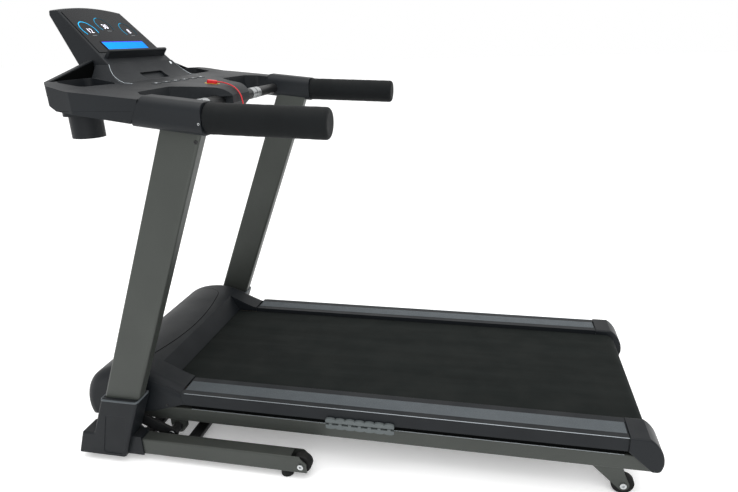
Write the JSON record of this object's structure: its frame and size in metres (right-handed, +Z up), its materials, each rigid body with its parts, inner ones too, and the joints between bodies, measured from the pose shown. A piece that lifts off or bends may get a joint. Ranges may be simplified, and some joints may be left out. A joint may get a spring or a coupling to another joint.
{
  "type": "folding motor treadmill",
  "caption": "Folding motor treadmill with leaning masts, console, foam side handles, pulse bar and a running deck that inclines on a lift bracket and folds up.",
  "frame": {"origin": "on the floor under the middle of the treadmill's box", "axes": "+X to the rear, where the runner steps on; -Y the runner's left, the side nearest the camera; +Z up"},
  "size_m": [1.5541, 0.808, 1.1928],
  "materials": {
    "mast_paint": "satin",
    "console_plastic": "matte",
    "cover_plastic": "satin",
    "strip_plastic": "satin",
    "grey_rubber": "matte",
    "black_rubber": "matte",
    "belt_rubber": "matte",
    "grip_foam": "matte",
    "bright_steel": "satin",
    "black_tube": "satin",
    "roller_steel": "satin",
    "motor_paint": "satin",
    "controller_aluminium": "satin",
    "board_wood": "matte",
    "panel_gloss": "gloss",
    "screen_glass": "gloss",
    "button_plastic": "matte",
    "key_red": "satin"
  },
  "bodies": {
    "base": {"floor_tube_left": "mast_paint", "floor_tube_right": "mast_paint", "base_cross_tubes": "mast_paint", "base_feet": "black_rubber", "transport_axles": "bright_steel", "mast_left": "mast_paint", "mast_right": "mast_paint", "mast_boot_left": "cover_plastic", "mast_boot_right": "cover_plastic", "arm_cover_left": "console_plastic", "arm_cover_right": "console_plastic", "handle_tubes": "black_tube", "foam_grip_left": "grip_foam", "foam_grip_right": "grip_foam", "pulse_bar": "black_tube", "pulse_contacts": "bright_steel", "console_top": "console_plastic", "console_base": "console_plastic", "display_head": "console_plastic", "display_panel": "panel_gloss", "lcd_screen": "screen_glass", "device_ledge": "console_plastic"},
    "fold_pivot": {"fold_pins": "bright_steel"},
    "lift": {"lift_bracket": "mast_paint"},
    "deck": {"deck_tube_left": "mast_paint", "deck_tube_right": "mast_paint", "deck_cross_members": "mast_paint", "deck_cushions": "black_rubber", "deck_board": "board_wood", "running_belt": "belt_rubber", "roller_axles": "bright_steel", "side_rail_left": "cover_plastic", "side_rail_right": "cover_plastic", "rail_strips": "strip_plastic", "rear_caps": "cover_plastic", "rear_wheel_forks": "mast_paint", "wheel_bolts": "bright_steel", "cushion_strips": "grey_rubber", "motor_hood": "cover_plastic", "drive_motor": "motor_paint", "drive_belt": "black_rubber", "motor_controller": "controller_aluminium"},
    "front_roller": {"front_roller": "roller_steel"},
    "rear_roller": {"rear_roller": "roller_steel"},
    "motor_shaft": {"motor_pulley": "roller_steel"},
    "rear_wheel_l": {"rear_wheel_left": "black_rubber"},
    "rear_wheel_r": {"rear_wheel_right": "black_rubber"},
    "transport_wheel_l": {"transport_wheel_left": "black_rubber"},
    "transport_wheel_r": {"transport_wheel_right": "black_rubber"},
    "actuator": {"incline_motor": "motor_paint"},
    "screw": {"incline_screw": "bright_steel"},
    "key": {"safety_key": "key_red", "safety_cord": "key_red", "safety_clip": "key_red"},
    "start_key": {"start_button": "button_plastic"},
    "speed_down_key": {"speed_down_button": "button_plastic"},
    "speed_up_key": {"speed_up_button": "button_plastic"},
    "incline_down_key": {"incline_down_button": "button_plastic"},
    "incline_up_key": {"incline_up_button": "button_plastic"},
    "stop_key": {"stop_button": "button_plastic"}
  },
  "joints": [
    {"name": "deck_fold", "type": "hinge", "parent": "base", "child": "fold_pivot", "pos_m": [-0.655, 0, 0.128], "axis": [0, -1, 0], "range_deg": [0, 57]},
    {"name": "incline", "type": "hinge", "parent": "fold_pivot", "child": "lift", "pos_m": [-0.655, 0, 0.128], "axis": [0, -1, 0], "range_deg": [0, 48.6]},
    {"name": "deck_level", "type": "hinge", "parent": "lift", "child": "deck", "pos_m": [-0.509, 0, 0.062], "axis": [0, -1, 0], "range_deg": [-54.9, 0.1]},
    {"name": "front_roller_spin", "type": "hinge", "parent": "deck", "child": "front_roller", "pos_m": [-0.585, 0, 0.155], "axis": [0, 1, 0], "continuous": true},
    {"name": "rear_roller_spin", "type": "hinge", "parent": "deck", "child": "rear_roller", "pos_m": [0.722, 0, 0.155], "axis": [0, 1, 0], "continuous": true},
    {"name": "motor_spin", "type": "hinge", "parent": "deck", "child": "motor_shaft", "pos_m": [-0.69, 0, 0.166], "axis": [0, 1, 0], "continuous": true},
    {"name": "rear_wheel_left_roll", "type": "hinge", "parent": "deck", "child": "rear_wheel_l", "pos_m": [0.702, -0.264, 0.028], "axis": [0, 1, 0], "continuous": true},
    {"name": "rear_wheel_right_roll", "type": "hinge", "parent": "deck", "child": "rear_wheel_r", "pos_m": [0.702, 0.264, 0.028], "axis": [0, 1, 0], "continuous": true},
    {"name": "transport_wheel_left_roll", "type": "hinge", "parent": "base", "child": "transport_wheel_l", "pos_m": [-0.113, -0.346, 0.044], "axis": [0, 1, 0], "continuous": true},
    {"name": "transport_wheel_right_roll", "type": "hinge", "parent": "base", "child": "transport_wheel_r", "pos_m": [-0.113, 0.346, 0.044], "axis": [0, 1, 0], "continuous": true},
    {"name": "actuator_tilt", "type": "hinge", "parent": "deck", "child": "actuator", "pos_m": [-0.715, 0, 0.078], "axis": [0, -1, 0], "range_deg": [-1, 6]},
    {"name": "screw_run", "type": "slide", "parent": "actuator", "child": "screw", "axis": [0.976, 0, -0.2179], "range_m": [-0.001, 0.026]},
    {"name": "key_pull", "type": "slide", "parent": "base", "child": "key", "axis": [0.1007, 0, 0.9949], "range_m": [0, 0.02]},
    {"name": "start_press", "type": "slide", "parent": "base", "child": "start_key", "axis": [-0.1007, 0, -0.9949], "range_m": [0, 0.0015], "stiffness_N_per_m": 600},
    {"name": "speed_down_press", "type": "slide", "parent": "base", "child": "speed_down_key", "axis": [-0.1007, 0, -0.9949], "range_m": [0, 0.0015], "stiffness_N_per_m": 600},
    {"name": "speed_up_press", "type": "slide", "parent": "base", "child": "speed_up_key", "axis": [-0.1007, 0, -0.9949], "range_m": [0, 0.0015], "stiffness_N_per_m": 600},
    {"name": "incline_down_press", "type": "slide", "parent": "base", "child": "incline_down_key", "axis": [-0.1007, 0, -0.9949], "range_m": [0, 0.0015], "stiffness_N_per_m": 600},
    {"name": "incline_up_press", "type": "slide", "parent": "base", "child": "incline_up_key", "axis": [-0.1007, 0, -0.9949], "range_m": [0, 0.0015], "stiffness_N_per_m": 600},
    {"name": "stop_press", "type": "slide", "parent": "base", "child": "stop_key", "axis": [-0.1007, 0, -0.9949], "range_m": [0, 0.0015], "stiffness_N_per_m": 600}
  ],
  "couplings": [
    {"joint": "deck_level", "follows": "incline", "ratio": -1.1286},
    {"joint": "rear_roller_spin", "follows": "front_roller_spin", "ratio": 1},
    {"joint": "motor_spin", "follows": "front_roller_spin", "ratio": 2.3333},
    {"joint": "actuator_tilt", "follows": "incline", "ratio": 0.09},
    {"joint": "screw_run", "follows": "incline", "m_per_rad": 0.0257}
  ]
}
